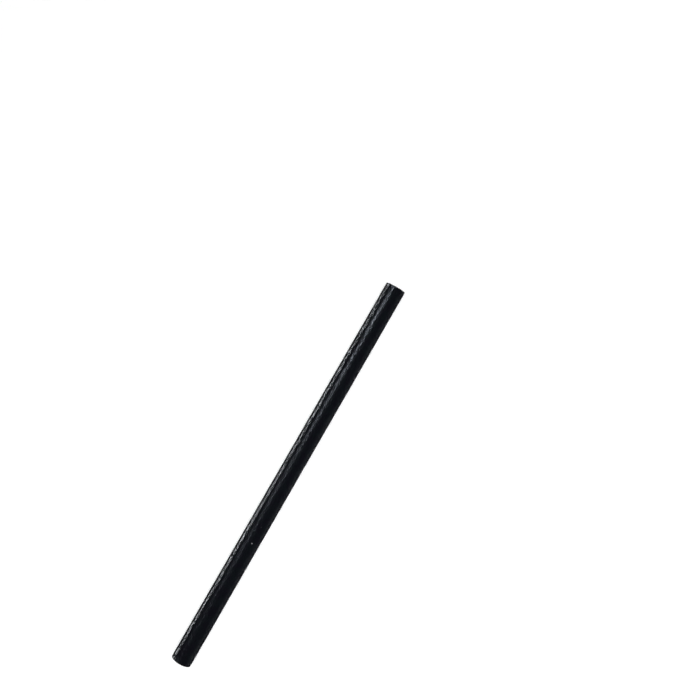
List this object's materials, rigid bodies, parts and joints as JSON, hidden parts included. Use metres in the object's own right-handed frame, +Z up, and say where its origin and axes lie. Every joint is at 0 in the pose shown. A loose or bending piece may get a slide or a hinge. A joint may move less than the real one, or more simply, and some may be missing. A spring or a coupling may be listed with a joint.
{
  "type": "drinking straw",
  "caption": "Straight matt black paper drinking straw: a plain round tube with a through bore and square-cut ends with softened edges.",
  "frame": {"origin": "on the table, under the middle of the straw, in the middle of the flat spot it lies on", "axes": "+X along the straw, towards the end that is up in the picture; +Z up; +Y to the left of +X"},
  "size_m": [0.14, 0.0068, 0.0068],
  "materials": {
    "black_paper": "matt, solid-dyed black paper with a fine grain and a slight sheen"
  },
  "bodies": {
    "root": {"straw_tube": "black_paper"}
  },
  "joints": []
}
